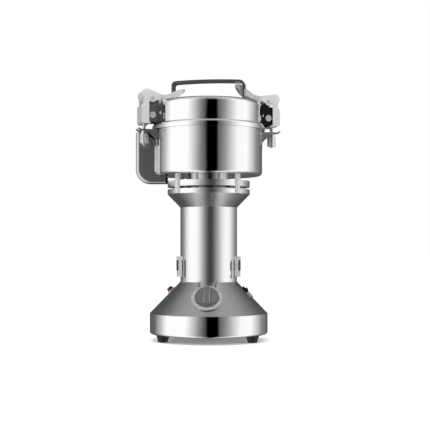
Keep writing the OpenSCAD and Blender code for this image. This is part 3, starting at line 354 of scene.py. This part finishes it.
def mesh_object(name, points, faces, material):
    """A mesh object at the origin from points in millimetres and lists of corners."""
    mesh = bpy.data.meshes.new(name)
    mesh.from_pydata((np.asarray(points) * MM).tolist(), [], faces)
    mesh.materials.append(material)
    obj = bpy.data.objects.new(name, mesh)
    bpy.context.scene.collection.objects.link(obj)
    return obj


def piece(name, points, faces, material, body):
    """A mesh object that rides on a body."""
    obj = mesh_object(name, points, faces, material)
    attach(obj, body)


def on_cone(share, local):
    """Points given as (down the slope, across, out of the cone) set on the front of the cone, with
    their origin at a share of the slope's height.

    The slope's direction is (cos tilt, -sin tilt) and the wall's normal (sin tilt, cos tilt) in the
    plane of radius and height. The front is azimuth -90 degrees, so the radius points along -Y.
    """
    down, across, out = np.asarray(local, float).T
    radius = BASE_R - SLOPE_DX * share + down * math.cos(TILT) + out * math.sin(TILT)
    height = CONE_Z + CONE_H * share - down * math.sin(TILT) + out * math.cos(TILT)
    return np.stack([across, -radius, height], axis=1)


def dial_angle(i, count):
    """Angle of mark i of a count of marks, spread over the dial's sweep about straight up the slope."""
    return np.radians(-DIAL_SWEEP / 2 + DIAL_SWEEP * i / (count - 1))


BOX_FACES = np.array([[0, 3, 2, 1], [4, 5, 6, 7], [0, 1, 5, 4], [1, 2, 6, 5], [2, 3, 7, 6], [3, 0, 4, 7]])


def tick_marks(count, inner, outer, width, height):
    """Thin blocks on the dial: mark i stands at dial_angle(i) and reaches from the inner to the outer
    radius. All but every fifth mark start 0.45 of the way out."""
    i = np.arange(count)
    angle = dial_angle(i, count)
    start = np.where(i % 5 == 0, inner, inner + 0.45 * (outer - inner))
    out = np.stack([-np.cos(angle), np.sin(angle)], axis=1)
    side = np.stack([np.sin(angle), np.cos(angle)], axis=1) * width / 2
    corners = []
    for z in (DIAL_TOP, DIAL_TOP + height):
        for radius, sign in ((start, -1), (start, 1), (outer, 1), (outer, -1)):
            xy = out * np.reshape(radius * np.ones(count), (-1, 1)) + sign * side
            corners.append(np.column_stack([xy, np.full(count, z)]))
    points = np.stack(corners, axis=1).reshape(-1, 3)
    faces = (BOX_FACES[None] + 8 * np.arange(count)[:, None, None]).reshape(-1, 4)
    return points, faces.tolist()


def strip_faces(count, corners, closed=False):
    """Faces of a strip swept through a count of places, whose points come corner by corner. A closed
    strip joins its last place to its first; an open one has no ends."""
    k = np.arange(count if closed else count - 1)
    n = (k + 1) % count
    pairs = [(a, (a + 1) % corners) for a in range(corners)]
    return np.concatenate([np.column_stack([a * count + k, b * count + k, b * count + n, a * count + n])
                           for a, b in pairs])


def grip_edge(sign, reach, count, inset, width, height):
    """Thin strip along one side of the knob's grip bar. The side is an arc of a large circle, so across
    the bar the strip lies at half - waist + bow - sqrt(bow squared - x squared), less its inset."""
    low = KNOB_TOP + BAR_H
    x = np.linspace(-reach, reach, count)
    side = BAR_HALF - WAIST + BOW_R - np.sqrt(BOW_R ** 2 - x ** 2)
    rows = [np.column_stack([x, sign * (side - shift), np.full(count, z)])
            for z, shift in ((low, inset), (low, inset + width), (low + height, inset + width),
                             (low + height, inset))]
    ends = [[0, 3 * count, 2 * count, count], [count - 1, 2 * count - 1, 3 * count - 1, 4 * count - 1]]
    return np.concatenate(rows), strip_faces(count, 4).tolist() + ends


def ring_band(inner, outer, height, count=96):
    """A flat ring of rectangular section: four circles, at the inner and outer radius, low and high."""
    angle = np.linspace(0, 2 * math.pi, count, endpoint=False)
    rows = [np.column_stack([radius * np.cos(angle), radius * np.sin(angle), np.full(count, z)])
            for radius, z in ((inner, DIAL_TOP), (outer, DIAL_TOP),
                              (outer, DIAL_TOP + height), (inner, DIAL_TOP + height))]
    return np.concatenate(rows), strip_faces(count, 4, closed=True).tolist()


def dial_numbers(step, count, radius, size, lift=0.05):
    """The dial's plain numbers as one flat mesh: number i stands at dial_angle(i), its foot towards
    the centre and a little above the plate."""
    points, faces, start = [], [], 0
    for i in range(count):
        text = bpy.data.curves.new("dial_number", "FONT")
        text.body = str(i * step)
        text.size = size
        text.align_x = text.align_y = "CENTER"
        text.resolution_u = 3
        holder = bpy.data.objects.new("dial_number", text)
        flat = bpy.data.meshes.new_from_object(holder)
        outline = np.array([vertex.co[:] for vertex in flat.vertices])
        angle = dial_angle(i, count)
        out = np.array([-math.cos(angle), math.sin(angle)])
        right = np.array([math.sin(angle), math.cos(angle)])
        xy = out * (radius + outline[:, 1:2]) + right * outline[:, 0:1]
        points.append(np.column_stack([xy, np.full(len(xy), DIAL_TOP + lift)]))
        faces += [[start + v for v in polygon.vertices] for polygon in flat.polygons]
        start += len(xy)
        bpy.data.objects.remove(holder)
        bpy.data.meshes.remove(flat)
        bpy.data.curves.remove(text)
    return np.concatenate(points), faces


def thread(centre, low, high, pitch=0.8, crest=0.28, sink=0.05, count=20):
    """A ridge of triangular section wound round a rod: its foot lies just inside the rod's radius, a
    quarter pitch above and below the helix z = low + pitch angle / 360, and its crest stands out."""
    k = np.arange(int((high - low - pitch / 2) / pitch * count) + 1)
    angle = 2 * math.pi * k / count
    middle = low + pitch / 4 + pitch * k / count
    rows = [np.column_stack([centre[0] + radius * np.cos(angle), centre[1] + radius * np.sin(angle),
                             middle + shift])
            for radius, shift in ((ROD_R - sink, -pitch / 4), (ROD_R + crest, 0.0),
                                  (ROD_R - sink, pitch / 4))]
    n = len(k)
    faces = strip_faces(n, 3)[:, [0, 3, 2, 1]].tolist()
    return np.concatenate(rows), faces + [[0, n, 2 * n], [n - 1, 3 * n - 1, 2 * n - 1]]


points, faces = tick_marks(61, KNOB_R + 3.05, DIAL_R - 0.8, width=0.28, height=0.06)
piece("dial_ticks", on_cone(DIAL_SHARE, points), faces, print_ink, "base")

for label, sign in (("left", -1), ("right", 1)):
    points, faces = grip_edge(sign, reach=15.6, count=25, inset=0.15, width=0.75, height=0.08)
    piece("grip_edge_" + label, on_cone(DIAL_SHARE, points), faces, knob_edge, "knob")

for label, inner, outer in (("rim", DIAL_R - 0.7, DIAL_R - 0.02), ("bore", KNOB_R + 0.35, KNOB_R + 0.75)):
    points, faces = ring_band(inner, outer, height=0.12)
    piece("dial_ring_" + label, on_cone(DIAL_SHARE, points), faces, knob_edge, "base")

points, faces = dial_numbers(step=10, count=7, radius=KNOB_R + 1.8, size=2.0)
piece("dial_numbers", on_cone(DIAL_SHARE, points), faces, print_ink, "base")

seat_z = LIP_Z - SEAT_DROP
nut_foot = seat_z - LUG_T - GAP - COLLAR_L - NUT_L
link_foot = LIP_Z + PIVOT_RISE + CRANK * math.sin(math.radians(CRANK_REST)) - LINK_DROP
for side, azimuth, crank_set in (("right", LATCH_TURN, 0.0), ("left", LATCH_TURN + 180, SET_LEFT)):
    reach = PIVOT_R + CRANK * math.cos(math.radians(CRANK_REST + crank_set))
    centre = (reach * math.cos(math.radians(azimuth)), reach * math.sin(math.radians(azimuth)))
    stretches = (("upper", seat_z - 1.6, link_foot - 0.2), ("tail", nut_foot - 1.7, nut_foot - 0.1))
    for label, low, high in stretches:
        points, faces = thread(centre, low, high)
        piece("rod_thread_%s_%s" % (side, label), points, faces, nut_steel,
              "link_%s_body" % side)


# ---------------------------------------------------------------- studio

# Brightness of the room that the steel mirrors: azimuth in degrees from the front, positive to the
# right, and level. A wall that faces half an azimuth mirrors that azimuth, so these stops follow the
# light and dark bands of the skirt, the tube, the bowl and the lid in the photograph.
PANELS = [(-180, 0.09), (-127, 0.12), (-104, 0.5), (-86, 1.0), (-44, 1.0), (-16, 0.25), (-2, 0.035),
          (-1, 0.0), (20.5, 0.0), (21.5, 0.09), (38, 0.31), (66, 0.94), (90, 1.0), (125, 0.26),
          (155, 0.1), (180, 0.09)]
CEILING, ROOM_STRENGTH = 0.42, 1.12


def studio_world():
    """White for the camera. For everything else the room of PANELS, which blends towards a grey
    ceiling overhead."""
    world = bpy.data.worlds.new("studio")
    bpy.context.scene.world = world
    world.use_nodes = True
    tree = world.node_tree
    nodes, links = tree.nodes, tree.links
    nodes.clear()
    coords = nodes.new("ShaderNodeTexCoord")
    split = nodes.new("ShaderNodeSeparateXYZ")
    links.new(coords.outputs["Generated"], split.inputs[0])
    forward = combine(tree, "MULTIPLY", split.outputs["Y"], -1.0)
    azimuth = combine(tree, "ARCTAN2", split.outputs["X"], forward)
    panels = nodes.new("ShaderNodeValToRGB")
    stops = panels.color_ramp.elements
    stops[0].color, stops[1].color = (*grey(PANELS[0][1]), 1), (*grey(PANELS[-1][1]), 1)
    for angle, level in PANELS[1:-1]:
        stops.new((angle + 180) / 360).color = (*grey(level), 1)
    links.new(remap(tree, azimuth, (0.0, 1.0), (-math.pi, math.pi)), panels.inputs["Fac"])
    overhead = nodes.new("ShaderNodeValToRGB")
    links.new(remap(tree, split.outputs["Z"], (0.0, 1.0), (-1.0, 1.0)), overhead.inputs["Fac"])
    overhead.color_ramp.elements[0].position = 0.76
    overhead.color_ramp.elements[1].color = (*grey(0.85), 1)
    blend = nodes.new("ShaderNodeMix")
    blend.data_type = "RGBA"
    links.new(overhead.outputs["Color"], blend.inputs["Factor"])
    links.new(panels.outputs["Color"], blend.inputs["A"])
    blend.inputs["B"].default_value = (*grey(CEILING), 1)
    surround = nodes.new("ShaderNodeBackground")
    surround.inputs["Strength"].default_value = ROOM_STRENGTH
    links.new(blend.outputs["Result"], surround.inputs["Color"])
    backdrop = nodes.new("ShaderNodeBackground")
    backdrop.inputs["Color"].default_value = (1, 1, 1, 1)
    path = nodes.new("ShaderNodeLightPath")
    choose = nodes.new("ShaderNodeMixShader")
    links.new(path.outputs["Is Camera Ray"], choose.inputs["Fac"])
    links.new(surround.outputs[0], choose.inputs[1])
    links.new(backdrop.outputs[0], choose.inputs[2])
    output = nodes.new("ShaderNodeOutputWorld")
    links.new(choose.outputs[0], output.inputs["Surface"])


def table_white():
    """Matte white. To the camera it also glows, less so close to the mill, where ambient occlusion paints
    a shadow that deepens the mill's cast shadow on a table as white as the backdrop. Mirrored rays pass
    through it to the room."""
    material = bpy.data.materials.new("white_table")
    material.use_nodes = True
    tree = material.node_tree
    nodes, links = tree.nodes, tree.links
    nodes.clear()
    matte = nodes.new("ShaderNodeBsdfDiffuse")
    matte.inputs["Color"].default_value = (0.8, 0.8, 0.8, 1)
    painted_shadow_occlusion = nodes.new("ShaderNodeAmbientOcclusion")
    painted_shadow_occlusion.inputs["Distance"].default_value = 0.3
    glow = nodes.new("ShaderNodeEmission")
    # Painted shadow: the glow dims where ambient occlusion finds the mill close by.
    links.new(remap(tree, painted_shadow_occlusion.outputs["AO"], (0.12, 1.0)), glow.inputs["Strength"])
    glow.inputs["Color"].default_value = (0.8, 0.8, 0.8, 1)
    both = nodes.new("ShaderNodeAddShader")
    links.new(matte.outputs[0], both.inputs[0])
    links.new(glow.outputs[0], both.inputs[1])
    path = nodes.new("ShaderNodeLightPath")
    seen = nodes.new("ShaderNodeMixShader")
    links.new(path.outputs["Is Camera Ray"], seen.inputs["Fac"])
    links.new(matte.outputs[0], seen.inputs[1])
    links.new(both.outputs[0], seen.inputs[2])
    clear = nodes.new("ShaderNodeBsdfTransparent")
    mirrored = nodes.new("ShaderNodeMixShader")
    links.new(path.outputs["Is Glossy Ray"], mirrored.inputs["Fac"])
    links.new(seen.outputs[0], mirrored.inputs[1])
    links.new(clear.outputs[0], mirrored.inputs[2])
    output = nodes.new("ShaderNodeOutputMaterial")
    links.new(mirrored.outputs[0], output.inputs["Surface"])
    return material


def table_top(count=48):
    """A flat round table 8 m in radius: four circles at height zero, the smallest filled."""
    radii = (1.0, 500.0, 2000.0, 8000.0)
    radius = np.repeat(radii, count)
    angle = np.tile(np.linspace(0, 2 * math.pi, count, endpoint=False), len(radii))
    points = np.column_stack([radius * np.cos(angle), radius * np.sin(angle), np.zeros(len(radius))])
    k = np.arange(count)
    n = (k + 1) % count
    faces = np.concatenate([np.column_stack([low + k, low + count + k, low + count + n, low + n])
                            for low in range(0, count * (len(radii) - 1), count)])
    mesh_object("table_top", points, faces.tolist() + [list(range(count))], table_white())


def lamp(name, place, size, power, target=(0.0, 0.0, 0.2)):
    """A soft rectangular lamp in metres that points at the mill and doesn't show in its steel."""
    light = bpy.data.lights.new(name, "AREA")
    light.shape = "RECTANGLE"
    light.size, light.size_y = size
    light.energy = power
    obj = bpy.data.objects.new(name, light)
    bpy.context.scene.collection.objects.link(obj)
    x, y, z = np.subtract(target, place)
    obj.location = place
    obj.rotation_euler = (math.atan2(math.hypot(x, y), -z), 0, math.atan2(y, x) - math.pi / 2)
    obj.visible_glossy = False


studio_world()
table_top()
lamp("soft_overhead", (-0.3, -0.5, 1.7), (1.6, 1.2), 9.0)
lamp("soft_front", (0.5, -1.6, 0.7), (1.2, 1.0), 5.0)


# ---------------------------------------------------------------- camera

# The photograph: its side in pixels, the column of the mill's axis, the row of the eye level, and
# the millimetres that a pixel covers at the axis
PHOTO, AXIS_COLUMN, EYE_ROW, PIXEL = 430, 208.7, 245, 1.527
EYE_DISTANCE, EYE_AZIMUTH, EYE_HEIGHT = 1.577, 2.3, 0.1453


def camera():
    """Level camera at the eye level of the photograph, a little to the right of the mill's front,
    shifted so that the axis and the eye level fall on their column and row."""
    data = bpy.data.cameras.new("camera")
    obj = bpy.data.objects.new("camera", data)
    bpy.context.scene.collection.objects.link(obj)
    azimuth = math.radians(EYE_AZIMUTH)
    data.sensor_width = 36.0
    data.lens = data.sensor_width * EYE_DISTANCE / (PHOTO * PIXEL * MM)
    data.shift_x = (PHOTO / 2 - AXIS_COLUMN) / PHOTO
    data.shift_y = (EYE_ROW - PHOTO / 2) / PHOTO
    obj.location = (EYE_DISTANCE * math.sin(azimuth), -EYE_DISTANCE * math.cos(azimuth), EYE_HEIGHT)
    obj.rotation_euler = (math.pi / 2, 0, azimuth)
    bpy.context.scene.camera = obj


camera()
bpy.context.scene.view_settings.view_transform = "Standard"
